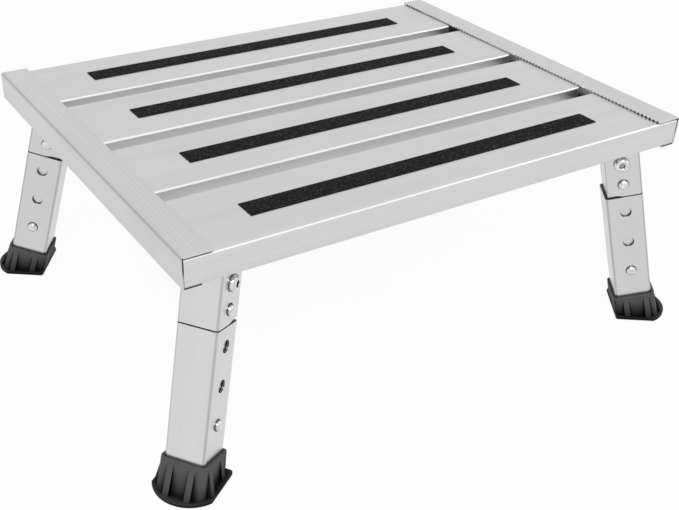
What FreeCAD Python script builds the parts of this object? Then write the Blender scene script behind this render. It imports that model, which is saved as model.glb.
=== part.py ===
import FreeCAD, Part
import math
import os

# Caravan entry step: a slatted aluminium tread on four splayed, telescopic legs that fold in under it.
# Millimetres, +Z up. The origin is on the ground, under the middle of the tread. +X runs along the long
# side of the tread and -Y is the side a person steps up from.

# Tread
PLATFORM_LENGTH = 483.0
PLATFORM_WIDTH = 374.0
TREAD_HEIGHT = 201.0

# End rails: channel extrusions that close the two short ends
RAIL_HEIGHT = 26.3
RAIL_WALL = 2.0
RAIL_TOP_FLANGE = 24.2
RAIL_BOTTOM_FLANGE = 15.5
RAIL_EDGE_RADIUS = 3.0

# Slats: hollow extrusions, open below, with a lip along the foot of each side
SLAT_COUNT = 4
SLAT_WIDTH = 81.7
SLAT_WALL = 1.8
SLAT_DECK = 2.0
SLAT_LIP = 12.0
SLAT_RIB = 1.6
SLAT_RIB_SPACING = 26.0
SLAT_EDGE_RADIUS = 2.2
SLAT_CORNER_RADIUS = 3.5
SLAT_TUCK = 1.0
SLAT_PLAY = 0.3

# Anti-slip strips along the middle of the slats
STRIP_LENGTH = 341.5
STRIP_WIDTH = 19.7
STRIP_THICKNESS = 0.5

# Where the legs turn, and how they stand
PIVOT_INSET_X = 36.7
PIVOT_INSET_Y = 27.9
PIVOT_DROP = 15.4
SPLAY_DEG = 15.0
FOLD_PLANE_DEG = 35.3

# Leg tubes and the bracket, which share one outer size
LEG_SIDE = 33.4
LEG_WALL = 2.0
LEG_RADIUS = 3.0
TUBE_PLAY = 0.3
INNER_WALL = 1.8
INNER_CROWN_FLAT = 1.7
INNER_TAIL = 13.0
SEAM_GAP = 1.0

# Height holes down the outer tube, and the two snap buttons
HOLE_PITCH = 31.75
HOLE_COUNT = 3
FIRST_HOLE = 15.8
SNAP_HOLE_RADIUS = 5.1
FOLD_BUTTON_DROP = 20.5
BUTTON_RADIUS = 4.6
BUTTON_PROUD = 3.6
CLIP_THICKNESS = 0.8
CLIP_WIDTH = 12.0
CLIP_PAD = 7.0
CLIP_LENGTH = 37.0
CLIP_NOSE = 3.0
CLIP_FIT = 0.05

# Bracket: a channel with its web outwards, welded to a plate under the slat
BRACKET_REACH = 32.6
CHEEK_SETBACK = 2.7
PLATE_GAP = 0.7
PLATE_INSET = 4.0
PLATE_LENGTH = 54.0
PLATE_WIDTH = 72.0
PLATE_CORNER = 5.0

# Pivot bolt, and the nut welded to the bracket
BOLT_RADIUS = 4.0
BOLT_CLEARANCE = 0.1
BOLT_RUNNING_FIT = 0.08
BOLT_HEAD_RADIUS = 7.0
BOLT_CROWN_RADIUS = 4.9
BOLT_HEAD_HEIGHT = 4.4
BOLT_SOCKET = 5.0
BOLT_SOCKET_DEPTH = 2.8
NUT_ACROSS = 13.0
NUT_HEIGHT = 7.0
BOLT_TAIL = 1.5

# Rubber foot
FOOT_RISE = 24.0
FOOT_WALL = 2.8
FOOT_HEEL_WALL = 2.0
FOOT_FLARE = 1.0
FOOT_UNDER_TUBE = 7.5
FOOT_FIT = 0.1
FOOT_RADIUS = 5.0
FOOT_HEEL_RADIUS = 3.5
SOLE_RADIUS = 31.0
SOLE_SETBACK = 1.7
SOLE_HALF_WIDTH = 25.8
SOLE_THICKNESS = 2.6
SOLE_CORNER = 2.5
FIN_THICKNESS = 4.8
FIN_WEB_OFFSET = 9.0
FIN_CHEEK_OUTER = 11.0
FIN_CHEEK_INNER = 8.0
FIN_RIM = 1.2
FIN_STEP = 2.5

# Worked out from the above
HALF_LENGTH = PLATFORM_LENGTH / 2
HALF_WIDTH = PLATFORM_WIDTH / 2
UNDERSIDE = TREAD_HEIGHT - RAIL_HEIGHT
SLAT_FOOT = UNDERSIDE + RAIL_WALL
SLAT_TOP = TREAD_HEIGHT - RAIL_WALL - SLAT_PLAY
SLAT_PITCH = (PLATFORM_WIDTH - SLAT_WIDTH) / (SLAT_COUNT - 1)
SLAT_END = HALF_LENGTH - RAIL_WALL - SLAT_PLAY
PAN_END = HALF_LENGTH - RAIL_TOP_FLANGE + SLAT_TUCK
SPLAY = math.radians(SPLAY_DEG)
PIVOT_HEIGHT = UNDERSIDE - PIVOT_DROP
LEG_REACH = PIVOT_HEIGHT / math.cos(SPLAY)
FLOOR_OUT = PIVOT_HEIGHT * math.tan(SPLAY)
HALF_LEG = LEG_SIDE / 2
HALF_BORE = HALF_LEG - LEG_WALL
HALF_INNER = HALF_BORE - TUBE_PLAY
TUBE_TOP = BRACKET_REACH + SEAM_GAP
TUBE_END = LEG_REACH - FOOT_UNDER_TUBE
LOCK_HOLE = TUBE_TOP + FIRST_HOLE + (HOLE_COUNT - 1) * HOLE_PITCH
HALF_COLLAR = HALF_LEG + FOOT_WALL
HEEL = HALF_LEG + FOOT_HEEL_WALL

# How far cutters reach past the part and past the face they cut, and the slack when edges are picked
FAR = 400.0
OVERCUT = 1.0
PARALLEL_DEG = 2.5
SAME_PLACE = 0.01
FILLET_SHARE = 0.9

# Each leg's side of the tread: left or right, front or rear
CORNERS = {
    "front_left": (-1, -1),
    "front_right": (1, -1),
    "rear_left": (-1, 1),
    "rear_right": (1, 1),
}

V = FreeCAD.Vector
ORIGIN = V(0, 0, 0)
X_AXIS = V(1, 0, 0)
Y_AXIS = V(0, 1, 0)
Z_AXIS = V(0, 0, 1)


def box(x0, x1, y0, y1, z0, z1):
    """A box between two corners, given in either order."""
    low = V(min(x0, x1), min(y0, y1), min(z0, z1))
    return Part.makeBox(abs(x1 - x0), abs(y1 - y0), abs(z1 - z0), low)


def edges_along(shape, axis):
    """The straight edges of a shape that run along one axis."""
    found = []
    least = math.cos(math.radians(PARALLEL_DEG))
    for edge in shape.Edges:
        if edge.Curve.TypeId != "Part::GeomLine":
            continue
        if abs(edge.tangentAt(edge.FirstParameter).dot(axis)) > least:
            found.append(edge)
    return found


def rounded_bar(half_x, half_y, z0, z1, radius):
    """An upright square bar on the Z axis with its four corners rounded."""
    bar = box(-half_x, half_x, -half_y, half_y, z0, z1)
    if radius <= 0:
        return bar
    return bar.makeFillet(min(radius, FILLET_SHARE * min(half_x, half_y)), edges_along(bar, Z_AXIS))


def rod(radius, start, end, centre=(0.0, 0.0), axis=Z_AXIS):
    """A cylinder along Z (centre x, y) or along Y (centre x, z)."""
    if axis is Y_AXIS:
        return Part.makeCylinder(radius, end - start, V(centre[0], start, centre[1]), Y_AXIS)
    return Part.makeCylinder(radius, end - start, V(centre[0], centre[1], start), Z_AXIS)


def prism(points, extrusion):
    """A solid swept from a flat outline of (x, y, z) points."""
    corners = [V(*point) for point in points]
    outline = Part.makePolygon(corners + corners[:1])
    return Part.Face(outline).extrude(V(*extrusion))


def join(first, *others):
    """One solid out of several that touch or overlap."""
    return first.fuse(list(others)).removeSplitter()


def write(name, shapes):
    """One STEP file for a node, which holds one solid or a group of separate ones."""
    solids = [solid for shape in shapes for solid in shape.Solids]
    shape = solids[0] if len(solids) == 1 else Part.makeCompound(solids)
    shape.exportStep("parts/" + name + ".step")


# Tread

def slat_centre(index):
    return -HALF_WIDTH + SLAT_WIDTH / 2 + index * SLAT_PITCH


def slat(index):
    """A slat: one extrusion, notched at its ends to enter the rails, with rounded corners at the slots."""
    half = SLAT_WIDTH / 2
    height = SLAT_TOP - SLAT_FOOT
    section = box(-SLAT_END, SLAT_END, -half, half, 0, height)
    top_edges = [edge for edge in edges_along(section, X_AXIS) if edge.BoundBox.ZMin > height / 2]
    section = section.makeFillet(SLAT_EDGE_RADIUS, top_edges)
    inside = half - SLAT_WALL
    mouth = half - SLAT_LIP
    hollow = box(-FAR, FAR, -inside, inside, SLAT_WALL, height - SLAT_DECK)
    hollow = hollow.fuse(box(-FAR, FAR, -mouth, mouth, -OVERCUT, SLAT_WALL))
    for rib in (-SLAT_RIB_SPACING / 2, SLAT_RIB_SPACING / 2):
        hollow = hollow.cut(box(-FAR, FAR, rib - SLAT_RIB / 2, rib + SLAT_RIB / 2, -OVERCUT, height))

    # The first and last slats keep their full width on the tread's outer edge
    tongue = half - SLAT_CORNER_RADIUS
    low = -half if index == 0 else -tongue
    high = half if index == SLAT_COUNT - 1 else tongue
    plan = rounded_bar(PAN_END, half, 0, height, SLAT_CORNER_RADIUS)
    plan = join(plan, box(-SLAT_END, SLAT_END, low, high, 0, height))
    body = section.cut(hollow).common(plan)
    body.translate(V(0, slat_centre(index), SLAT_FOOT))
    return body


def strip(index):
    y = slat_centre(index)
    return box(-STRIP_LENGTH / 2, STRIP_LENGTH / 2, y - STRIP_WIDTH / 2, y + STRIP_WIDTH / 2,
               SLAT_TOP, SLAT_TOP + STRIP_THICKNESS)


def rail(side):
    """A channel that wraps the slats' ends, with soft outer edges."""
    face = side * HALF_LENGTH
    body = box(face, face - side * RAIL_TOP_FLANGE, -HALF_WIDTH, HALF_WIDTH, UNDERSIDE, TREAD_HEIGHT)
    outer_edges = [
        edge for edge in edges_along(body, Y_AXIS) if abs(edge.BoundBox.XMin - face) < SAME_PLACE
    ]
    body = body.makeFillet(RAIL_EDGE_RADIUS, outer_edges)
    hollow = box(face - side * RAIL_WALL, face - side * FAR, -FAR, FAR,
                 UNDERSIDE + RAIL_WALL, TREAD_HEIGHT - RAIL_WALL)
    below = box(face - side * RAIL_BOTTOM_FLANGE, face - side * FAR, -FAR, FAR,
                UNDERSIDE - OVERCUT, TREAD_HEIGHT - RAIL_WALL)
    return body.cut(hollow.fuse(below))


# Legs. Each piece is made about its pivot: X outwards, Y towards the button side, Z up along the leg.
# lean() then tips it by the splay, and set_leg() turns it to its corner.

def lean(shape):
    tipped = shape.copy()
    tipped.rotate(ORIGIN, Y_AXIS, -SPLAY_DEG)
    return tipped


def set_leg(shape, side_x, side_y):
    """Carries a piece to its corner. Right-hand legs are the mirror image of left-hand ones."""
    placed = shape.mirror(ORIGIN, Y_AXIS) if side_x > 0 else shape.copy()
    azimuth = FOLD_PLANE_DEG * side_y
    if side_x < 0:
        azimuth = 180 - azimuth
    placed.rotate(ORIGIN, Z_AXIS, azimuth)
    placed.translate(V(side_x * (HALF_LENGTH - PIVOT_INSET_X), side_y * (HALF_WIDTH - PIVOT_INSET_Y),
                       PIVOT_HEIGHT))
    return placed


def outer_tube():
    """The lower leg, with its row of height holes."""
    body = rounded_bar(HALF_LEG, HALF_LEG, -TUBE_END, -TUBE_TOP, LEG_RADIUS)
    body = body.cut(box(-HALF_BORE, HALF_BORE, -HALF_BORE, HALF_BORE,
                        -TUBE_END - OVERCUT, -TUBE_TOP + OVERCUT))
    for index in range(HOLE_COUNT):
        drop = TUBE_TOP + FIRST_HOLE + index * HOLE_PITCH
        body = body.cut(rod(SNAP_HOLE_RADIUS, 0, HALF_LEG + OVERCUT, (0, -drop), Y_AXIS))
    return lean(body)


def inner_tube():
    """The upper leg, which turns on the pivot bolt and slides in the outer tube."""
    foot = LOCK_HOLE + INNER_TAIL
    body = box(-HALF_INNER, HALF_INNER, -HALF_INNER, HALF_INNER, -foot, HALF_INNER)
    # The head is clipped at its corners so that it can turn clear of the bracket's web
    head = [edge for edge in edges_along(body, Y_AXIS) if edge.BoundBox.ZMin > 0]
    body = body.makeChamfer(HALF_INNER - INNER_CROWN_FLAT, head)
    half_inside = HALF_INNER - INNER_WALL
    body = body.cut(box(-half_inside, half_inside, -half_inside, half_inside, -FAR, FAR))
    body = body.cut(rod(BOLT_RADIUS + BOLT_RUNNING_FIT, -FAR, FAR, (0, 0), Y_AXIS))
    for drop in (FOLD_BUTTON_DROP, LOCK_HOLE):
        body = body.cut(rod(SNAP_HOLE_RADIUS, 0, FAR, (0, -drop), Y_AXIS))
    return lean(body)


def snap_clip(drop, nose_up):
    """A vee of spring strip with the button at the end of one leaf, its nose above or below the button."""
    leaf = HALF_INNER - INNER_WALL - CLIP_FIT
    edge = -CLIP_WIDTH / 2
    outside = Part.makePolygon([
        V(edge, leaf, -CLIP_PAD),
        V(edge, leaf, CLIP_PAD),
        V(edge, CLIP_NOSE / 2, CLIP_LENGTH),
        V(edge, -CLIP_NOSE / 2, CLIP_LENGTH),
        V(edge, -leaf, CLIP_PAD),
    ])
    edge_on = outside.makeOffset2D(-CLIP_THICKNESS, 2, True, True)
    body = edge_on.extrude(V(CLIP_WIDTH, 0, 0)).Solids[0]
    button = rod(BUTTON_RADIUS, leaf - CLIP_THICKNESS / 2, HALF_LEG + BUTTON_PROUD, (0, 0), Y_AXIS)
    body = body.fuse(button)
    if not nose_up:
        body = body.mirror(ORIGIN, Z_AXIS)
    body.translate(V(0, 0, -drop))
    return lean(body)


def foot():
    """The moulded rubber foot: a flared collar on a flat sole, stiffened by upright fins."""
    collar = -(LEG_REACH - FOOT_RISE)
    ground = -PIVOT_HEIGHT
    base = -2 * LEG_REACH

    # The flare: upright on the inner side, spreading on the other three
    spread = HALF_COLLAR + FOOT_FLARE * (collar - base) / FOOT_RISE
    depth = prism([(-HEEL, -FAR, collar), (HALF_COLLAR, -FAR, collar), (spread, -FAR, base),
                   (-HEEL, -FAR, base)], (0, 2 * FAR, 0))
    width = prism([(-FAR, -HALF_COLLAR, collar), (-FAR, HALF_COLLAR, collar), (-FAR, spread, base),
                   (-FAR, -spread, base)], (2 * FAR, 0, 0))
    flare = depth.common(width)
    upright_edges = [edge for edge in flare.Edges if edge.BoundBox.ZLength > FOOT_RISE]
    flare = flare.makeFillet(FOOT_RADIUS, [edge for edge in upright_edges if edge.BoundBox.XMin > 0])
    upright_edges = [edge for edge in flare.Edges if edge.BoundBox.ZLength > FOOT_RISE]
    flare = flare.makeFillet(FOOT_HEEL_RADIUS, [edge for edge in upright_edges if edge.BoundBox.XMax < 0])

    # The fins: two under the web side and two under each cheek side
    top = collar - FIN_STEP
    low = -(LEG_REACH + SOLE_RADIUS * math.sin(SPLAY))
    lobe = math.sqrt(SOLE_RADIUS ** 2 - FIN_WEB_OFFSET ** 2) - SOLE_SETBACK
    reach = lobe * math.cos(SPLAY) - FIN_RIM
    fins = []
    for across in (-FIN_WEB_OFFSET, FIN_WEB_OFFSET):
        start = across - FIN_THICKNESS / 2
        fins.append(prism([(0, start, top), (HALF_COLLAR, start, top), (reach, start, low),
                           (0, start, low)], (0, FIN_THICKNESS, 0)))
    half = SOLE_HALF_WIDTH - FIN_RIM
    for along in (FIN_CHEEK_OUTER, -FIN_CHEEK_INNER):
        start = along - FIN_THICKNESS / 2
        fins.append(prism([(start, -HALF_COLLAR, top), (start, HALF_COLLAR, top), (start, half, -LEG_REACH),
                           (start, half, low), (start, -half, low), (start, -half, -LEG_REACH)],
                          (FIN_THICKNESS, 0, 0)))
    above_ground = box(-FAR, FAR, -FAR, FAR, ground, FAR)
    upright = [lean(shape).common(above_ground) for shape in [flare] + fins]

    heel = HALF_COLLAR / math.cos(SPLAY)
    sole = rod(SOLE_RADIUS, ground, ground + SOLE_THICKNESS, (FLOOR_OUT - SOLE_SETBACK, 0))
    trim = box(FLOOR_OUT - heel, FLOOR_OUT + FAR, -SOLE_HALF_WIDTH, SOLE_HALF_WIDTH,
               ground - OVERCUT, ground + SOLE_THICKNESS + OVERCUT)
    heel_corners = [edge for edge in edges_along(trim, Z_AXIS) if edge.BoundBox.XMax < FLOOR_OUT]
    sole = sole.common(trim.makeFillet(SOLE_CORNER, heel_corners))

    socket = HALF_LEG + FOOT_FIT
    return join(sole, *upright).cut(lean(box(-socket, socket, -socket, socket, -TUBE_END, FAR)))


def bracket(side_x, side_y):
    """The channel that holds a leg, with a weld nut on its far cheek, under a plate for the slat's lips."""
    edge = -(HALF_LEG - CHEEK_SETBACK)
    channel = box(edge, HALF_LEG, -HALF_LEG, HALF_LEG, -BRACKET_REACH, 2 * PIVOT_DROP)
    bends = [line for line in edges_along(channel, Z_AXIS) if line.BoundBox.XMin > 0]
    channel = channel.makeFillet(LEG_RADIUS, bends)
    channel = channel.cut(box(-FAR, HALF_BORE, -HALF_BORE, HALF_BORE, -FAR, FAR))
    # The lower inner corner stays inside the circle that the outer tube's end sweeps as it turns
    swing = -math.sqrt(BRACKET_REACH ** 2 - edge ** 2)
    channel = channel.cut(prism([(0, -FAR, -BRACKET_REACH), (edge, -FAR, swing), (edge, -FAR, -FAR),
                                 (0, -FAR, -FAR)], (0, 2 * FAR, 0)))
    channel = join(channel, hexagon(NUT_ACROSS, -HALF_LEG - NUT_HEIGHT, -HALF_LEG))
    channel = channel.cut(rod(BOLT_RADIUS + BOLT_CLEARANCE, -FAR, FAR, (0, 0), Y_AXIS))
    channel = channel.cut(rod(SNAP_HOLE_RADIUS, 0, FAR, (0, -FOLD_BUTTON_DROP), Y_AXIS))
    channel = set_leg(lean(channel), side_x, side_y)
    channel = channel.common(box(-FAR, FAR, -FAR, FAR, 0, UNDERSIDE))

    x_inset = RAIL_BOTTOM_FLANGE + PLATE_GAP
    plate = box(side_x * (HALF_LENGTH - x_inset), side_x * (HALF_LENGTH - x_inset - PLATE_LENGTH),
                side_y * (HALF_WIDTH - PLATE_INSET), side_y * (HALF_WIDTH - PLATE_INSET - PLATE_WIDTH),
                UNDERSIDE, SLAT_FOOT)
    return join(channel, plate.makeChamfer(PLATE_CORNER, edges_along(plate, Z_AXIS)))


def pivot_bolt():
    """A button-head bolt with a hexagon socket, its head on the button side."""
    crown = HALF_LEG + BOLT_HEAD_HEIGHT
    tail = -(HALF_LEG + NUT_HEIGHT + BOLT_TAIL)
    head = Part.makeCone(BOLT_HEAD_RADIUS, BOLT_CROWN_RADIUS, BOLT_HEAD_HEIGHT, V(0, HALF_LEG, 0), Y_AXIS)
    body = join(head, rod(BOLT_RADIUS, tail, HALF_LEG, (0, 0), Y_AXIS))
    return lean(body.cut(hexagon(BOLT_SOCKET, crown - BOLT_SOCKET_DEPTH, crown + OVERCUT)))


def hexagon(across, start, end):
    """A hexagonal bar along Y."""
    radius = across / math.sqrt(3)
    corners = []
    for index in range(6):
        angle = math.radians(60 * index)
        corners.append((radius * math.cos(angle), start, radius * math.sin(angle)))
    return prism(corners, (0, end - start, 0))


os.makedirs("parts", exist_ok=True)

SLAT_NAMES = ["front", "middle_front", "middle_rear", "rear"]
for number in range(SLAT_COUNT):
    name = SLAT_NAMES[number] if SLAT_COUNT == len(SLAT_NAMES) else str(number + 1)
    write("slat_" + name, [slat(number)])
    write("grip_strip_" + name, [strip(number)])
write("end_rail_left", [rail(-1)])
write("end_rail_right", [rail(1)])

# Pieces that are the same on every leg, made once and then set at each corner
LEG_PIECES = {
    "inner_tube": inner_tube(),
    "outer_tube": outer_tube(),
    "foot": foot(),
    "fold_clip": snap_clip(FOLD_BUTTON_DROP, False),
    "height_clip": snap_clip(LOCK_HOLE, True),
}
for corner_name, corner_sides in CORNERS.items():
    write("bracket_" + corner_name, [bracket(*corner_sides)])
    for piece, shape in LEG_PIECES.items():
        write(piece + "_" + corner_name, [set_leg(shape, *corner_sides)])
write("pivot_bolts", [set_leg(pivot_bolt(), *corner_sides) for corner_sides in CORNERS.values()])
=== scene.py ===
import math

import bmesh
import bpy
from mathutils import Matrix, Vector


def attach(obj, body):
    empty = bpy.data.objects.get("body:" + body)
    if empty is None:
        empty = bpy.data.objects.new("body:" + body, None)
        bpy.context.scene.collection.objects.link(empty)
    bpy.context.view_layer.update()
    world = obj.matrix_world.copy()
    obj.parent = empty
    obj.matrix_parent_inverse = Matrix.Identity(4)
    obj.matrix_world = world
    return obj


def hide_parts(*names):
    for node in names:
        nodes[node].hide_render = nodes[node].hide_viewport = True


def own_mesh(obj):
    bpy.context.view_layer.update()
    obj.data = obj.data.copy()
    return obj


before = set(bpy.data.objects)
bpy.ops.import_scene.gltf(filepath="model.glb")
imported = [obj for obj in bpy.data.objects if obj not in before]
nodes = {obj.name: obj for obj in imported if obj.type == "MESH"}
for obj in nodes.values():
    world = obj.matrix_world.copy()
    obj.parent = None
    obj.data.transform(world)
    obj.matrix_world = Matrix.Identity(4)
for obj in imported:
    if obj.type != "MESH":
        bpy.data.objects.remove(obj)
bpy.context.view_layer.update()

# Dresses the caravan entry step: finishes for the CAD pieces, detailed bolts, snap buttons and springs in
# place of the plain ones, blind rivets, and a white studio seen from the photo's angle

MM = 0.001

# The object's own sizes, in millimetres, as the CAD source has them. A drop runs down a leg from its pivot,
# and LEAF is how far a snap clip's outer face lies from the middle of the leg
PLATFORM_LENGTH = 483.0
PLATFORM_WIDTH = 374.0
TREAD_HEIGHT = 201.0
UNDERSIDE = 174.7
RAIL_WALL = 2.0
RAIL_TOP_FLANGE = 24.2
RAIL_BOTTOM_FLANGE = 15.5
SLAT_COUNT = 4
SLAT_WIDTH = 81.7
SLAT_PITCH = (PLATFORM_WIDTH - SLAT_WIDTH) / (SLAT_COUNT - 1)
PIVOT = (204.8, 159.1, 159.3)
SPLAY = math.radians(15.0)
FOLD_PLANE = math.radians(35.3)
HALF_LEG = 16.7
LEG_WALL = 2.0
BRACKET_REACH = 32.6
SEAM_GAP = 1.0
HOLE_RADIUS = 5.1
HOLE_PITCH = 31.75
LOCK_HOLE_DROP = 112.9
FIRST_HOLE_DROP = LOCK_HOLE_DROP - 2 * HOLE_PITCH
FOLD_BUTTON_DROP = 20.5
BUTTON_RADIUS = 4.6
BUTTON_PROUD = 3.6
LEAF = 12.55
CLIP_PAD = 7.0
CLIP_LENGTH = 37.0
CLIP_WIDTH = 12.0
CLIP_THICKNESS = 0.8
NUT_HEIGHT = 7.0
BOLT_TAIL = 1.5
CORNERS = {
    "front_left": (-1, -1),
    "front_right": (1, -1),
    "rear_left": (-1, 1),
    "rear_right": (1, 1),
}

# Small forms that only the scene has, in millimetres
RAIL_RIB_PITCH = 3.65
SLAT_RIB_PITCH = 4.4
RAIL_RIVET_INSET = 8.2
RAIL_RIVET_SPREAD = 34.0
BRACKET_RIVETS_X = (222.0, 179.0)
BRACKET_RIVETS_Y = (179.0, 115.0)

# What keeps two faces out of one plane, and how far off a plane a point still counts as on it
CLEAR = 0.02
NEAR = 0.05

# How bright each metal is, and the share of it that each mark of painted shade takes away. A negative share
# brightens, as painted light
SLAT_TONE = 0.655
RAIL_TONE = 0.645
# Each leg's tone is set apart from the others to paint in how the light falls on that leg
LEG_TONES_AS_LIT = {
    "front_left": 0.675,
    "front_right": 0.625,
    "rear_left": 0.635,
    "rear_right": 0.615,
}
TOP_FACE_SHADE = 0.085
SLOT_WALL_LIGHT = -0.19
FRONT_EDGE_HIGHLIGHT = -0.24
RAIL_TOP_SHADE = 0.09
RAIL_LIP_LIGHT = -0.35
BEND_DARK_REFLECTION = 0.30
CHANNEL_SHADE = 0.45
JOINT_SHADOW = 0.92
HOLE_WALL_SHADE = 0.65
HOLE_GAP_SHADE = 0.80
HOLE_RING_SHADOW = 0.40
LEG_SEAM_SHADE = 0.85

# The painted shade in gaps on the metal: how far to look round a spot, in metres, how much of the brightness
# is left at least, and how much of the view is closed there and clear in the open
PROFILE_SKY = {"distance": 0.004, "share": 0.5}
LEG_SKY = {"distance": 0.0025, "share": 0.08, "closed": 0.12, "clear": 0.55}

# The camera, fitted to the photo: its frame and lens in pixels, and its place in metres
PHOTO_WIDTH = 679
PHOTO_HEIGHT = 510
FOCAL_LENGTH = 1024.667
OPTICAL_CENTRE = (320.468, 269.352)
CAMERA_PLACE = (-0.480361, -0.71577, 0.554664)
CAMERA_AZIMUTH = math.radians(33.487)
CAMERA_ELEVATION = math.radians(32.023)
CAMERA_ROLL = math.radians(2.044)

# The studio: the floor's own colour, how much of its look is plain white, and the world's light
FLOOR_WHITE = (0.86, 0.86, 0.86, 1)
FLOOR_GLOW = 0.94
WORLD_LIGHT = 0.55
WHITE = (1, 1, 1, 1)
LAMP_AIM = Vector((0, 0, 0.12))


def leg_frame(side_x, side_y):
    """Leg space (millimetres: X outwards, Y to the buttons, Z up the leg) to the row frame in metres."""
    azimuth = FOLD_PLANE * side_y
    if side_x < 0:
        azimuth = math.pi - azimuth
    place = Matrix.Translation(Vector((side_x * PIVOT[0], side_y * PIVOT[1], PIVOT[2])) * MM)
    mirror = Matrix.Scale(-1.0, 4, (0, 1, 0)) if side_x > 0 else Matrix.Identity(4)
    return (place @ Matrix.Rotation(azimuth, 4, "Z") @ mirror
            @ Matrix.Rotation(-SPLAY, 4, "Y") @ Matrix.Scale(MM, 4))


def make_camera():
    """The camera at the photo's angle, with the photo's lens and off-centre frame."""
    level = math.cos(CAMERA_ELEVATION)
    forward = Vector((math.sin(CAMERA_AZIMUTH) * level, math.cos(CAMERA_AZIMUTH) * level,
                      -math.sin(CAMERA_ELEVATION)))
    right = Vector((math.cos(CAMERA_AZIMUTH), -math.sin(CAMERA_AZIMUTH), 0))
    up = right.cross(forward)
    turned_right = math.cos(CAMERA_ROLL) * right + math.sin(CAMERA_ROLL) * up
    turned_up = -math.sin(CAMERA_ROLL) * right + math.cos(CAMERA_ROLL) * up
    data = bpy.data.cameras.new("camera")
    camera = bpy.data.objects.new("camera", data)
    bpy.context.scene.collection.objects.link(camera)
    turn = Matrix((turned_right, turned_up, -forward)).transposed()
    camera.matrix_world = Matrix.Translation(CAMERA_PLACE) @ turn.to_4x4()
    data.sensor_fit = "HORIZONTAL"
    data.sensor_width = 36.0
    data.lens = FOCAL_LENGTH / PHOTO_WIDTH * data.sensor_width
    data.shift_x = (PHOTO_WIDTH / 2 - OPTICAL_CENTRE[0]) / PHOTO_WIDTH
    data.shift_y = (OPTICAL_CENTRE[1] - PHOTO_HEIGHT / 2) / PHOTO_WIDTH
    data.clip_start = 0.01
    data.clip_end = 100.0
    bpy.context.scene.camera = camera


# Node helpers

def put(tree, kind, inputs=None, **settings):
    """A shader node with its settings, and its inputs given as numbers or as other nodes' outputs."""
    node = tree.nodes.new(kind)
    for key, value in settings.items():
        setattr(node, key, value)
    for key, value in (inputs or {}).items():
        if isinstance(value, bpy.types.NodeSocket):
            tree.links.new(value, node.inputs[key])
        else:
            node.inputs[key].default_value = value
    return node


def calc(tree, operation, *values):
    """A Math node over numbers or outputs."""
    return put(tree, "ShaderNodeMath", dict(enumerate(values)), operation=operation).outputs[0]


def total(tree, first, *others):
    """The sum of numbers or outputs."""
    for value in others:
        first = calc(tree, "ADD", first, value)
    return first


def product(tree, first, *others):
    """The product of numbers or outputs."""
    for value in others:
        first = calc(tree, "MULTIPLY", first, value)
    return first


def spread(tree, value, low, high, to_low, to_high):
    """A value stretched from one range to another, clamped."""
    return put(tree, "ShaderNodeMapRange", {"Value": value, "From Min": low, "From Max": high,
                                            "To Min": to_low, "To Max": to_high}).outputs["Result"]


def swing(tree, value, amount):
    """A noise that moves a level up and down by an amount."""
    return spread(tree, value, 0.3, 0.7, -amount, amount)


def ramp(tree, value, start, end, least=0.0):
    """A value in metres that rises from least to 1 between two places in millimetres."""
    return spread(tree, value, start * MM, end * MM, least, 1.0)


def between(tree, value, low, high):
    """1 where a value in metres lies between two bounds in millimetres."""
    return product(tree, calc(tree, "GREATER_THAN", value, low * MM),
                   calc(tree, "LESS_THAN", value, high * MM))


def darken(tree, level, mask, share):
    """A level that loses a share of itself where a mask is 1."""
    return product(tree, level, calc(tree, "SUBTRACT", 1.0, product(tree, mask, share)))


def noise(tree, vector, scale, detail=2.0, roughness=0.5):
    """Soft noise from 0 to 1, with about as many spots to the metre as its scale."""
    return put(tree, "ShaderNodeTexNoise", {"Vector": vector, "Scale": scale, "Detail": detail,
                                            "Roughness": roughness}).outputs["Fac"]


def start_material(name):
    """A new material with its nodes, its main shader and the place on the object in metres."""
    material = bpy.data.materials.new(name)
    material.use_nodes = True
    tree = material.node_tree
    place = put(tree, "ShaderNodeTexCoord").outputs["Object"]
    return material, tree, tree.nodes["Principled BSDF"], place


def set_colour(tree, shader, level, green=1.0, blue=1.0):
    """A grey base colour, with its green and blue a little off it where they are given."""
    parts = {"Red": level, "Green": product(tree, level, green), "Blue": product(tree, level, blue)}
    colour = put(tree, "ShaderNodeCombineColor", parts).outputs[0]
    tree.links.new(colour, shader.inputs["Base Color"])


def relief(tree, height, distance, strength, under=None):
    """The direction of a surface with fine relief, laid over another such direction where one is given."""
    inputs = {"Strength": strength, "Distance": distance, "Height": height}
    if under is not None:
        inputs["Normal"] = under
    return put(tree, "ShaderNodeBump", inputs).outputs[0]


def axis_part(tree, vector, axis):
    """How far a vector reaches along an axis."""
    return put(tree, "ShaderNodeVectorMath", {0: vector, 1: tuple(axis)},
               operation="DOT_PRODUCT").outputs["Value"]


def along_axes(tree, place, along):
    """Coordinates that run with a profile: the first along it, the other two across."""
    along = Vector(along).normalized()
    side = along.cross(Vector((0.31, 0.17, 0.93))).normalized()
    return [axis_part(tree, place, axis) for axis in (along, side, along.cross(side))]


def streaks(tree, axes, along, across, detail, roughness):
    """Noise drawn out along a profile, with one scale along it and one across it."""
    u, v, w = axes
    parts = {"X": product(tree, u, along), "Y": product(tree, v, across), "Z": product(tree, w, across)}
    drawn_out = put(tree, "ShaderNodeCombineXYZ", parts).outputs[0]
    return noise(tree, drawn_out, 1.0, detail, roughness)


def facing(tree):
    """The surface's own direction, which turns with the piece."""
    return put(tree, "ShaderNodeTexCoord").outputs["Normal"]


def upward(tree):
    """1 on level faces that look up, and 0 on the others."""
    return spread(tree, axis_part(tree, facing(tree), (0, 0, 1)), 0.90, 0.98, 0.0, 1.0)


def corner_band(tree, first, second):
    """How far a surface has turned from one face of a square profile to the next: 0 on a face, 1 half way."""
    normal = facing(tree)
    turned = [calc(tree, "ABSOLUTE", axis_part(tree, normal, axis)) for axis in (first, second)]
    return spread(tree, product(tree, *turned), 0.24, 0.48, 0.0, 1.0)


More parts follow.
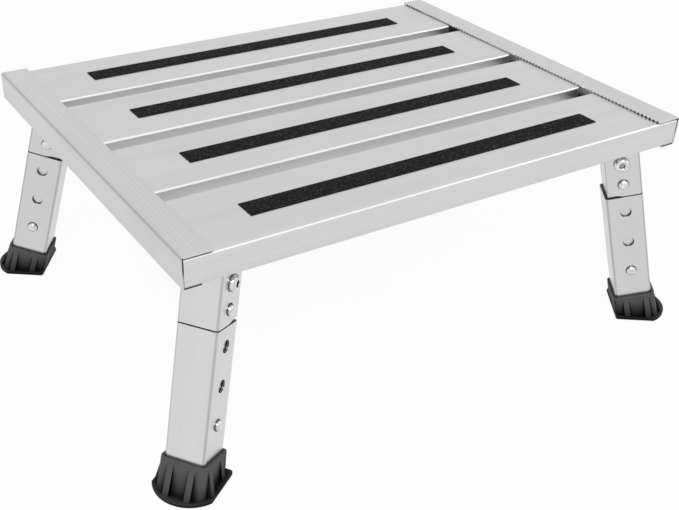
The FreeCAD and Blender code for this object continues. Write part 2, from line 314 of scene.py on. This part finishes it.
def edge_wear(tree, radius):
    """A rounded-edge direction, and how strongly a spot is at an edge."""
    rounded = put(tree, "ShaderNodeBevel", {"Radius": radius}, samples=6).outputs["Normal"]
    plain = put(tree, "ShaderNodeNewGeometry").outputs["Normal"]
    match = put(tree, "ShaderNodeVectorMath", {0: rounded, 1: plain},
                operation="DOT_PRODUCT").outputs["Value"]
    return rounded, spread(tree, match, 1.0, 0.86, 0.0, 1.0)


def open_sky(tree, distance, share, closed=0.30, clear=0.88):
    """1 in the open, and down to a share of it in corners, holes and gaps: the mask for painted shade there.
    """
    seen = put(tree, "ShaderNodeAmbientOcclusion", {"Distance": distance}, samples=8).outputs["AO"]
    return spread(tree, seen, closed, clear, share, 1.0)


def ripple(tree, place, across, pitch):
    """A wave from -1 to 1 along a direction, with its pitch in millimetres."""
    return calc(tree, "SINE", product(tree, axis_part(tree, place, across), 2 * math.pi / (pitch * MM)))


# Materials

def aluminium(name, along, tone, roughness, brushing, edge_radius, sky, marks, ribs=None):
    """Mill-finish extrusion: die lines along its length, faint handling marks, brighter worn edges.

    sky sets the painted shade in gaps, marks joins that with the painted light and shade one profile has of
    its own, and ribs holds the direction across the top face's fine ribs, their pitch in millimetres and how
    much painted shade they put on it.
    """
    material, tree, shader, place = start_material(name)
    axes = along_axes(tree, place, along)
    lines = streaks(tree, axes, along=2.2, across=900.0, detail=4.0, roughness=0.65)
    bands = streaks(tree, axes, along=1.0, across=70.0, detail=2.0, roughness=0.5)
    cloud = noise(tree, place, scale=9.0, detail=3.0, roughness=0.55)
    grit = noise(tree, place, scale=1400.0, detail=2.0, roughness=0.5)
    smear = noise(tree, place, scale=38.0, detail=5.0, roughness=0.7)
    rounded, edge = edge_wear(tree, edge_radius)

    shade = total(tree, swing(tree, lines, 0.030 * brushing), swing(tree, bands, 0.016 * brushing),
                  swing(tree, grit, 0.048 * brushing), swing(tree, cloud, 0.012), product(tree, edge, 0.06))
    surface = rounded
    if ribs:
        across, pitch, depth = ribs
        wave = product(tree, ripple(tree, place, across, pitch), upward(tree))
        # Painted shade along the ribs, in the colour, besides their relief
        shade = total(tree, shade, product(tree, wave, depth))
        surface = relief(tree, wave, distance=0.00002, strength=1.0, under=rounded)
    level = marks(tree, place, total(tree, shade, tone), open_sky(tree, **sky))
    set_colour(tree, shader, level, blue=1.004)

    rough = total(tree, swing(tree, lines, 0.035 * brushing), spread(tree, smear, 0.35, 0.75, -0.03, 0.05),
                  roughness)
    rough = calc(tree, "SUBTRACT", rough, product(tree, edge, 0.10))
    tree.links.new(rough, shader.inputs["Roughness"])

    height = total(tree, product(tree, lines, 0.7), product(tree, grit, 0.3))
    surface = relief(tree, height, distance=0.00008, strength=0.10 * brushing, under=surface)
    tree.links.new(surface, shader.inputs["Normal"])
    shader.inputs["Metallic"].default_value = 1.0
    shader.inputs["Anisotropic"].default_value = 0.2
    return material


def slat_painted_light(tree, place, level, sky):
    """Painted light and shade on the slats: painted shade in gaps and on the tops, a painted highlight on the
    front edges, and painted light on the side walls.
    """
    # Painted shade: gaps darkened, and the level tops darker than the side faces
    level = darken(tree, product(tree, level, sky), upward(tree), TOP_FACE_SHADE)
    y = calc(tree, "ABSOLUTE", axis_part(tree, place, (0, 1, 0)))
    normal = facing(tree)
    # Painted light: the slats' side walls in the slots made brighter
    sideways = calc(tree, "ABSOLUTE", axis_part(tree, normal, (0, 1, 0)))
    walls = product(tree, calc(tree, "GREATER_THAN", sideways, 0.9),
                    between(tree, y, 0.0, PLATFORM_WIDTH / 2 - 1.0))
    level = darken(tree, level, walls, SLOT_WALL_LIGHT)
    # Painted highlight along the slats' front top edges
    turned = axis_part(tree, normal, Vector((0, -1, 1)).normalized())
    return darken(tree, level, spread(tree, turned, 0.94, 0.995, 0.0, 1.0), FRONT_EDGE_HIGHLIGHT)


def rail_painted_light(tree, place, level, sky):
    """Painted light and shade on the rails: painted shade in gaps and on the top faces, painted light on the
    top flange's lip face, a painted dark reflection round the bends, and painted shade inside the channel and
    in the joints with the slats.
    """
    along = axis_part(tree, place, (1, 0, 0))
    x, y, z = [calc(tree, "ABSOLUTE", axis_part(tree, place, axis))
               for axis in ((1, 0, 0), (0, 1, 0), (0, 0, 1))]
    end, side = PLATFORM_LENGTH / 2, PLATFORM_WIDTH / 2
    web, lip = end - RAIL_WALL, end - RAIL_TOP_FLANGE
    floor, roof = UNDERSIDE + RAIL_WALL, TREAD_HEIGHT - RAIL_WALL
    lip_face = product(tree, between(tree, x, lip - NEAR, lip + NEAR),
                       between(tree, z, roof - NEAR, TREAD_HEIGHT - 2 * NEAR))
    # Painted shade in gaps, left off the lip face
    level = product(tree, level, calc(tree, "MAXIMUM", sky, lip_face))
    # Painted shade on the level top faces
    level = darken(tree, level, upward(tree), RAIL_TOP_SHADE)
    # Painted light on the top flange's lip face
    level = darken(tree, level, lip_face, RAIL_LIP_LIGHT)
    # Painted dark reflection round the bends
    level = darken(tree, level, corner_band(tree, (1, 0, 0), (0, 0, 1)), BEND_DARK_REFLECTION)
    # Painted shade inside the channel, under the top flange
    inside = product(tree, between(tree, x, lip + 2 * NEAR, web + NEAR),
                     between(tree, z, floor - NEAR, roof + NEAR))
    level = darken(tree, level, inside, CHANNEL_SHADE)

    # Painted shadow lines in the joint gaps, seen on the rail's sawn ends: over the bottom flange, under the
    # top one, and up
    #     # the web. On the right-hand rail the top one fades out away from the corner
    over_line, under_line, web_line, corner_reach = 1.3, 0.5, 0.9, 9.0
    over = product(tree, between(tree, z, floor - over_line, floor + NEAR),
                   between(tree, x, end - RAIL_BOTTOM_FLANGE - 2 * NEAR, web))
    under = product(tree, between(tree, z, roof - NEAR, roof + under_line),
                    between(tree, x, lip - 2 * NEAR, web))
    under = darken(tree, under, between(tree, along, 0.0, end - corner_reach), 0.75)
    upright = product(tree, between(tree, x, web - NEAR, web + web_line),
                      ramp(tree, z, floor + 7.0, floor + 13.0, least=0.1))
    joints = calc(tree, "MAXIMUM", calc(tree, "MAXIMUM", over, under), upright)
    sawn = between(tree, y, side - NEAR, side + NEAR)
    level = darken(tree, level, product(tree, joints, sawn), JOINT_SHADOW)

    # Painted shadow of the slats' ribs where they pass under the top flange's lip: an uneven row of dark
    # dashes
    #     # there. The row is whole near the tread's corners
    dash_height, whole, broken = 1.3, 25.0, 45.0
    gaps = spread(tree, ripple(tree, place, (0, 1, 0), SLAT_RIB_PITCH), -0.2, 0.5, 0.0, 1.0)
    dashes = product(tree, gaps, lip_face, between(tree, z, roof - NEAR, roof + dash_height))
    patchy = spread(tree, noise(tree, place, scale=24.0, detail=1.0), 0.40, 0.62, 0.15, 0.85)
    uneven = calc(tree, "MAXIMUM", patchy, ramp(tree, y, side - broken, side - whole))
    return darken(tree, level, product(tree, dashes, uneven), JOINT_SHADOW)


def leg_painted_light(outwards, to_buttons, up_leg, pivot):
    """What a leg adds, all painted light and shade: a painted dark reflection round the bends, holes kept
    light with painted shade on their cut walls and a painted shadow outline, and a painted shade line in the
    seam under the bracket.
    """
    bore = HALF_LEG - LEG_WALL
    hole_floor, hole_mouth = bore - 1.0, HALF_LEG - 0.08
    above_holes, below_foot = FIRST_HOLE_DROP - 8.0, 200.0
    rim, ring_inside, ring_outside = 0.15, 0.9, 0.4
    gap_reach, gap_depth = 4.0, 0.45

    def marks(tree, place, level, sky):
        from_pivot = put(tree, "ShaderNodeVectorMath", {0: place, 1: tuple(pivot)},
                         operation="SUBTRACT").outputs[0]
        depth = axis_part(tree, from_pivot, to_buttons)
        across = axis_part(tree, from_pivot, outwards)
        drop = axis_part(tree, from_pivot, -up_leg)

        # Distances from the middle of the nearest height hole, and a mask over every hole
        down = calc(tree, "PINGPONG", calc(tree, "SUBTRACT", drop, FIRST_HOLE_DROP * MM),
                    HOLE_PITCH / 2 * MM)
        reach = calc(tree, "SQRT", total(tree, product(tree, across, across), product(tree, down, down)))
        below_seam = between(tree, drop, above_holes, below_foot)
        hole = product(tree, between(tree, reach, -1.0, HOLE_RADIUS + rim), below_seam)

        open_hole = product(tree, hole, between(tree, depth, hole_floor, hole_mouth))
        # Painted shade in gaps, kept light inside the holes
        level = product(tree, level, calc(tree, "MAXIMUM", sky, product(tree, open_hole, 0.78)))
        # Painted dark reflection round the bends
        level = darken(tree, level, corner_band(tree, outwards, to_buttons), BEND_DARK_REFLECTION)
        # Painted shade on the holes' cut walls and in the gap behind them
        walls = product(tree, hole, between(tree, depth, bore - NEAR, hole_mouth))
        level = darken(tree, level, walls, HOLE_WALL_SHADE)
        gap = product(tree, hole, between(tree, down, -1.0, gap_reach),
                      between(tree, depth, bore - NEAR, bore + gap_depth))
        level = darken(tree, level, gap, HOLE_GAP_SHADE)
        # Painted shadow ring round each hole on the inner tube
        ring = product(tree, between(tree, reach, HOLE_RADIUS - ring_inside, HOLE_RADIUS + ring_outside),
                       between(tree, depth, hole_floor, bore - 0.06), below_seam)
        level = darken(tree, level, ring, HOLE_RING_SHADOW)
        # Painted shade line in the seam under the bracket
        seam = between(tree, drop, BRACKET_REACH - 2 * NEAR, BRACKET_REACH + SEAM_GAP + NEAR)
        return darken(tree, level, seam, LEG_SEAM_SHADE)
    return marks


def steel(name, tone, roughness, warmth=0.0):
    """Plated steel: smooth, with a fine turned grain, small marks, brighter edges, and painted shade in its
    socket and round its seat.
    """
    material, tree, shader, place = start_material(name)
    cloud = noise(tree, place, scale=260.0, detail=4.0, roughness=0.6)
    grain = noise(tree, place, scale=2600.0, detail=2.0, roughness=0.5)
    rounded, edge = edge_wear(tree, 0.00025)
    mottled = spread(tree, cloud, 0.32, 0.68, tone - 0.10, tone + 0.10)
    # Painted shade in the socket and round the seat
    level = product(tree, total(tree, mottled, product(tree, edge, 0.10)),
                    open_sky(tree, distance=0.0035, share=0.03, closed=0.40, clear=0.90))
    set_colour(tree, shader, level, green=1.0 - 0.3 * warmth, blue=1.0 - warmth)
    rough = spread(tree, cloud, 0.3, 0.75, roughness - 0.05, roughness + 0.09)
    tree.links.new(rough, shader.inputs["Roughness"])
    surface = relief(tree, grain, distance=0.00005, strength=0.12, under=rounded)
    tree.links.new(surface, shader.inputs["Normal"])
    shader.inputs["Metallic"].default_value = 1.0
    return material


def grip_tape(name):
    """Black mineral grit on a tape: angular grains, some of them with a painted glint."""
    material, tree, shader, place = start_material(name)
    grains = put(tree, "ShaderNodeTexVoronoi", {"Vector": place, "Scale": 1150.0, "Randomness": 1.0})
    sparks = put(tree, "ShaderNodeSeparateColor", {"Color": grains.outputs["Color"]})
    cloud = noise(tree, place, scale=120.0, detail=3.0, roughness=0.6)
    fine = noise(tree, place, scale=2300.0, detail=3.0, roughness=0.7)
    # Painted glints: bright specks in the base colour
    painted_glint = spread(tree, sparks.outputs[0], 0.93, 1.0, 0.0, 1.0)
    level = total(tree, spread(tree, cloud, 0.3, 0.7, 0.005, 0.009), product(tree, painted_glint, 0.10),
                  spread(tree, fine, 0.4, 0.7, 0.0, 0.006))
    set_colour(tree, shader, level)
    rough = spread(tree, sparks.outputs[1], 0.0, 1.0, 0.55, 0.95)
    tree.links.new(rough, shader.inputs["Roughness"])
    height = total(tree, product(tree, grains.outputs["Distance"], -0.8),
                   product(tree, sparks.outputs[2], 0.6))
    surface = relief(tree, height, distance=0.00035, strength=0.9)
    tree.links.new(surface, shader.inputs["Normal"])
    shader.inputs["Specular IOR Level"].default_value = 0.06
    return material


def rubber(name):
    """Moulded black rubber: fine bloom, dustier low down, paler on its edges, darker on the sole's low side
    faces, and painted shade that turns its corners black.
    """
    material, tree, shader, place = start_material(name)
    cloud = noise(tree, place, scale=45.0, detail=4.0, roughness=0.6)
    speck = noise(tree, place, scale=900.0, detail=3.0, roughness=0.6)
    rounded, edge = edge_wear(tree, 0.0011)
    height_up = put(tree, "ShaderNodeSeparateXYZ", {"Vector": place}).outputs["Z"]
    dust = product(tree, ramp(tree, height_up, 12.0, 0.0), spread(tree, speck, 0.45, 0.65, 0.0, 1.0))
    collar_top = product(tree, upward(tree), between(tree, height_up, 15.0, 100.0))
    # Painted shade: black in corners and recesses, with less of it on the collar's top
    recess_shade = calc(tree, "POWER", open_sky(tree, distance=0.020, share=0.0, closed=0.38, clear=1.0), 2.3)
    seat = open_sky(tree, distance=0.0014, share=0.10, closed=0.40, clear=0.95)
    painted_shade = calc(tree, "MAXIMUM", recess_shade, product(tree, collar_top, seat))
    tilt = calc(tree, "ABSOLUTE", axis_part(tree, facing(tree), (0, 0, 1)))
    rim = product(tree, ramp(tree, height_up, 3.4, 2.4), spread(tree, tilt, 0.7, 0.4, 0.0, 1.0))
    level = total(tree, spread(tree, cloud, 0.3, 0.7, 0.078, 0.098), product(tree, edge, 0.045))
    level = darken(tree, product(tree, level, painted_shade), rim, 0.6)
    level = total(tree, level, product(tree, dust, 0.003))
    set_colour(tree, shader, level, blue=1.03)
    tree.links.new(spread(tree, cloud, 0.3, 0.7, 0.50, 0.62), shader.inputs["Roughness"])
    surface = relief(tree, speck, distance=0.0002, strength=0.18, under=rounded)
    tree.links.new(surface, shader.inputs["Normal"])
    shader.inputs["Specular IOR Level"].default_value = 0.11
    return material


def paint(piece, material):
    """Gives a piece one material all over."""
    if not piece.data.materials:
        piece.data.materials.append(material)
    for slot in piece.material_slots:
        slot.material = material


# Meshes. The object's are in millimetres until they are linked

def link_mesh(name, mesh, matrix=None):
    """A new object from a bmesh, carried into the row frame, with its faces turned outwards."""
    if matrix is not None:
        mesh.transform(matrix)
    bmesh.ops.recalc_face_normals(mesh, faces=mesh.faces)
    data = bpy.data.meshes.new(name)
    mesh.to_mesh(data)
    mesh.free()
    data.polygons.foreach_set("use_smooth", [True] * len(data.polygons))
    data.set_sharp_from_angle(angle=math.radians(35))
    piece = bpy.data.objects.new(name, data)
    bpy.context.scene.collection.objects.link(piece)
    return piece


def rings(mesh, loops):
    """Faces between rings of points, each ring as long as the next, with a cap on both ends."""
    made = [[mesh.verts.new(point) for point in loop] for loop in loops]
    count = len(made[0])
    for lower, upper in zip(made, made[1:]):
        for i in range(count):
            mesh.faces.new((lower[i], lower[(i + 1) % count], upper[(i + 1) % count], upper[i]))
    mesh.faces.new(made[0])
    mesh.faces.new(made[-1])


def circle_y(radius, y, count=48):
    """A ring of points about the Y axis."""
    return [(radius * math.cos(2 * math.pi * i / count), y, radius * math.sin(2 * math.pi * i / count))
            for i in range(count)]


def hexagon_y(across, y, count=48):
    """A hexagon about the Y axis with as many points as the circles it meets."""
    points = []
    for i in range(count):
        angle = 2 * math.pi * i / count
        off_flat = (angle % (math.pi / 3)) - math.pi / 6
        radius = across / 2 / math.cos(off_flat)
        points.append((radius * math.cos(angle), y, radius * math.sin(angle)))
    return points


def dome(crown, radius, foot, top, steps):
    """Radius and height at the steps between a dome's foot and the edge of its flat crown."""
    turns = [math.pi / 2 * i / steps for i in range(1, steps)]
    return [(crown + (radius - crown) * math.cos(turn), foot + (top - foot) * math.sin(turn))
            for turn in turns]


def bolt_head():
    """Rings of a domed head on the leg's face, with a chamfered hexagon socket."""
    radius, crown, height, rim = 7.0, 3.7, 4.4, 0.5
    top = HALF_LEG + height
    loops = [circle_y(4.3, HALF_LEG + CLEAR), circle_y(radius - 0.25, HALF_LEG + CLEAR),
             circle_y(radius, HALF_LEG + 0.22), circle_y(radius, HALF_LEG + rim)]
    loops += [circle_y(*step) for step in dome(crown, radius, HALF_LEG + rim, top, 12)]
    loops += [circle_y(crown, top), circle_y(3.45, top), circle_y(3.25, top - 0.05),
              hexagon_y(5.05, top - 0.55), hexagon_y(5.0, top - 2.5),
              circle_y(2.2, top - 2.7), circle_y(0.4, top - 3.3)]
    return loops


def bolt_shank():
    """Rings of a shank that is plain under the head and has a rolled thread through the nut."""
    radius, pitch, depth, thread_start = 3.98, 1.25, 0.6, 2.0
    count = 32
    tail = -(HALF_LEG + NUT_HEIGHT + BOLT_TAIL)
    loops = []
    y = HALF_LEG + CLEAR
    while y > tail + 0.5:
        threaded = y < thread_start
        loop = []
        for i in range(count):
            angle = 2 * math.pi * i / count
            phase = (y / pitch + i / count) % 1.0
            cut = depth * abs(2 * phase - 1) if threaded else 0.0
            loop.append(((radius - cut) * math.cos(angle), y, (radius - cut) * math.sin(angle)))
        loops.append(loop)
        y -= pitch / 6 if threaded else 1.5
    loops.append(circle_y(3.2, tail, count))
    return loops


def button_bolt(name, matrix):
    """A button-head bolt through a leg's pivot."""
    mesh = bmesh.new()
    rings(mesh, bolt_head())
    rings(mesh, bolt_shank())
    return link_mesh(name, mesh, matrix)


def snap_button(name, matrix, drop):
    """A turned pin: straight sides, a domed nose with the centre mark of its lathe, and a riveted root."""
    radius, tip, shoulder = BUTTON_RADIUS, HALF_LEG + BUTTON_PROUD, HALF_LEG + 0.9
    loops = [circle_y(2.6, LEAF - 1.4), circle_y(3.2, LEAF - 1.1), circle_y(3.3, LEAF - 0.82),
             circle_y(radius - 0.2, LEAF + CLEAR), circle_y(radius, LEAF + 0.2), circle_y(radius, shoulder)]
    loops += [circle_y(*step) for step in dome(0.0, radius, shoulder, tip, 12)]
    loops += [circle_y(0.42, tip - 0.03), circle_y(0.16, tip - 0.25)]
    mesh = bmesh.new()
    rings(mesh, loops)
    for vertex in mesh.verts:
        vertex.co.z -= drop
    return link_mesh(name, mesh, matrix)


def spring_line():
    """The middle of a bent strip, seen from the side: a flat pad and a lean, a round nose, and back again."""
    nose = 2.3
    middle = LEAF - CLIP_THICKNESS / 2
    foot = Vector((middle, CLIP_PAD))
    centre = Vector((0.0, CLIP_LENGTH - nose - CLIP_THICKNESS / 2))
    lean = math.atan2(middle - nose, centre.y - foot.y)
    nose_start = centre + nose * Vector((math.cos(lean), math.sin(lean)))
    leaf = [(middle, height) for height in (-CLIP_PAD, -CLIP_PAD / 2, 0.0, CLIP_PAD / 2, CLIP_PAD - 1.5)]
    leaf += [tuple(foot.lerp(nose_start, i / 12)) for i in range(1, 13)]
    turns = [lean + (math.pi - 2 * lean) * i / 8 for i in range(1, 9)]
    bend = [(centre.x + nose * math.cos(turn), centre.y + nose * math.sin(turn)) for turn in turns]
    return leaf + bend + [(-y, z) for y, z in reversed(leaf)]


def vee_spring(name, matrix, drop, nose_up):
    """The bent strip behind a button: two flat pads that draw together into a round nose."""
    half_width = CLIP_WIDTH / 2
    line = spring_line()
    loops = []
    for i, (y, z) in enumerate(line):
        before = Vector(line[max(i - 1, 0)])
        after = Vector(line[min(i + 1, len(line) - 1)])
        direction = (after - before).normalized()
        normal = Vector((direction.y, -direction.x)) * CLIP_THICKNESS / 2
        outer, inner = Vector((y, z)) + normal, Vector((y, z)) - normal
        loops.append([(-half_width, outer.x, outer.y), (half_width, outer.x, outer.y),
                      (half_width, inner.x, inner.y), (-half_width, inner.x, inner.y)])
    mesh = bmesh.new()
    rings(mesh, loops)
    for vertex in mesh.verts:
        vertex.co.z = (vertex.co.z if nose_up else -vertex.co.z) - drop
    return link_mesh(name, mesh, matrix)


def rivet(mesh, x, y, z, radius, height):
    """A blind rivet's low domed head, facing down, with the broken stem in its middle."""
    count, crown, foot = 24, 1.25, 0.18
    turns = [2 * math.pi * i / count for i in range(count)]

    def ring(r, drop):
        return [(x + r * math.cos(turn), y + r * math.sin(turn), z - drop) for turn in turns]

    loops = [ring(radius, -CLEAR), ring(radius, foot)]
    loops += [ring(*step) for step in dome(crown, radius, foot, height, 6)]
    loops += [ring(1.2, height), ring(1.05, height - 0.35), ring(0.95, height - 0.35),
              ring(0.75, height - 0.1), ring(0.35, height - 0.12)]
    rings(mesh, loops)


# The dressed object

def fit_leg(corner, sides):
    """One leg's metal, its pivot bolt, and the button and the spring of both its clips."""
    place = leg_frame(*sides)
    outwards, to_buttons, up_leg = [place.to_3x3().col[i].normalized() for i in range(3)]
    # The leg's tone carries painted light for its corner
    leg_metal = aluminium("leg_aluminium_" + corner, along=up_leg, tone=LEG_TONES_AS_LIT[corner], roughness=0.30,
                          brushing=0.40, edge_radius=0.0002, sky=LEG_SKY,
                          marks=leg_painted_light(outwards, to_buttons, up_leg, place.translation))
    for part in ("bracket_", "inner_tube_", "outer_tube_"):
        paint(nodes[part + corner], leg_metal)

    bolt = button_bolt("bolt_" + corner, place)
    paint(bolt, plated)
    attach(bolt, "platform")
    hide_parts("pivot_bolts")

    for catch, drop, nose_up in (("fold", FOLD_BUTTON_DROP, False), ("height", LOCK_HOLE_DROP, True)):
        button = snap_button(catch + "_snap_button_" + corner, place, drop)
        paint(button, plated)
        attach(button, catch + "_catch_" + corner)
        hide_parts(catch + "_clip_" + corner)
        strip = vee_spring(catch + "_spring_" + corner, place, drop, nose_up)
        paint(strip, spring)
        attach(strip, "inner_leg_" + corner)
        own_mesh(strip)


def fit_rivets(name, spots, radius, height):
    """A group of rivets in the underside, as one piece."""
    mesh = bmesh.new()
    for x, y in spots:
        rivet(mesh, x, y, UNDERSIDE, radius, height)
    group = link_mesh(name, mesh, Matrix.Scale(MM, 4))
    paint(group, plated)
    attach(group, "platform")


make_camera()

slat_metal = aluminium("slat_satin_aluminium", along=(1, 0, 0), tone=SLAT_TONE, roughness=0.36,
                       brushing=0.80, edge_radius=0.0006, sky=PROFILE_SKY, marks=slat_painted_light,
                       ribs=((0, 1, 0), SLAT_RIB_PITCH, 0.008))
rail_metal = aluminium("rail_satin_aluminium", along=(0, 1, 0), tone=RAIL_TONE, roughness=0.36,
                       brushing=0.80, edge_radius=0.0006, sky=PROFILE_SKY, marks=rail_painted_light,
                       ribs=((1, 0, 0), RAIL_RIB_PITCH, 0.020))
plated = steel("bright_zinc_steel", tone=0.68, roughness=0.10)
spring = steel("spring_steel", tone=0.55, roughness=0.28, warmth=0.04)
finishes = {"slat_": slat_metal, "end_rail_": rail_metal, "grip_strip_": grip_tape("black_grip_tape"),
            "foot_": rubber("black_rubber")}

for name, piece in nodes.items():
    for start, finish in finishes.items():
        if name.startswith(start):
            paint(piece, finish)

for corner, sides in CORNERS.items():
    fit_leg(corner, sides)

slat_centres = [(i - (SLAT_COUNT - 1) / 2) * SLAT_PITCH for i in range(SLAT_COUNT)]
for side, label in ((-1, "left"), (1, "right")):
    x = side * (PLATFORM_LENGTH / 2 - RAIL_RIVET_INSET)
    spots = [(x, centre + across) for centre in slat_centres
             for across in (-RAIL_RIVET_SPREAD, RAIL_RIVET_SPREAD)]
    fit_rivets("rail_rivets_" + label, spots, 3.0, 0.9)

for corner, (side_x, side_y) in CORNERS.items():
    spots = [(side_x * x, side_y * y) for x in BRACKET_RIVETS_X for y in BRACKET_RIVETS_Y]
    fit_rivets("bracket_rivets_" + corner, spots, 2.4, 0.6)


# Stage

def direct_ray(tree):
    """1 where the camera, a reflection or a transmission looks, and 0 for light that is only cast."""
    path = put(tree, "ShaderNodeLightPath").outputs
    mirrored = calc(tree, "MAXIMUM", path["Is Glossy Ray"], path["Is Transmission Ray"])
    return calc(tree, "MAXIMUM", path["Is Camera Ray"], mirrored)


def make_floor():
    """A wide floor that looks white and still shows the object's shadow."""
    mesh = bmesh.new()
    bmesh.ops.create_grid(mesh, x_segments=1, y_segments=1, size=30.0)
    floor = link_mesh("studio_floor", mesh)
    material = bpy.data.materials.new("studio_white")
    material.use_nodes = True
    tree = material.node_tree
    tree.nodes.clear()
    output = put(tree, "ShaderNodeOutputMaterial")
    lit = put(tree, "ShaderNodeBsdfDiffuse", {"Color": FLOOR_WHITE}).outputs[0]
    white = put(tree, "ShaderNodeEmission", {"Color": WHITE, "Strength": 1.0}).outputs[0]
    share = product(tree, direct_ray(tree), FLOOR_GLOW)
    mixed = put(tree, "ShaderNodeMixShader", {0: share, 1: lit, 2: white}).outputs[0]
    tree.links.new(mixed, output.inputs["Surface"])
    floor.data.materials.append(material)


def make_world():
    """A world that looks white and lights the object softly."""
    world = bpy.data.worlds.new("studio")
    bpy.context.scene.world = world
    world.use_nodes = True
    tree = world.node_tree
    tree.nodes.clear()
    output = put(tree, "ShaderNodeOutputWorld")
    soft = put(tree, "ShaderNodeBackground", {"Color": WHITE, "Strength": WORLD_LIGHT}).outputs[0]
    white = put(tree, "ShaderNodeBackground", {"Color": WHITE, "Strength": 1.0}).outputs[0]
    mixed = put(tree, "ShaderNodeMixShader", {0: direct_ray(tree), 1: soft, 2: white}).outputs[0]
    tree.links.new(mixed, output.inputs["Surface"])


def make_lamp(name, place, size, power):
    """A softbox turned to the object: its place and size in metres, its power in watts."""
    data = bpy.data.lights.new(name, "AREA")
    data.shape = "RECTANGLE"
    data.size, data.size_y = size
    data.energy = power
    lamp = bpy.data.objects.new(name, data)
    bpy.context.scene.collection.objects.link(lamp)
    lamp.location = place
    aim = LAMP_AIM - lamp.location
    lamp.rotation_mode = "QUATERNION"
    lamp.rotation_quaternion = aim.to_track_quat("-Z", "Y")


bpy.context.scene.view_settings.view_transform = "Standard"
make_floor()
make_world()
make_lamp("key_softbox", place=(-1.0, -1.8, 2.1), size=(2.0, 1.0), power=37)
make_lamp("fill_softbox", place=(1.9, -0.9, 1.3), size=(1.2, 1.2), power=5)
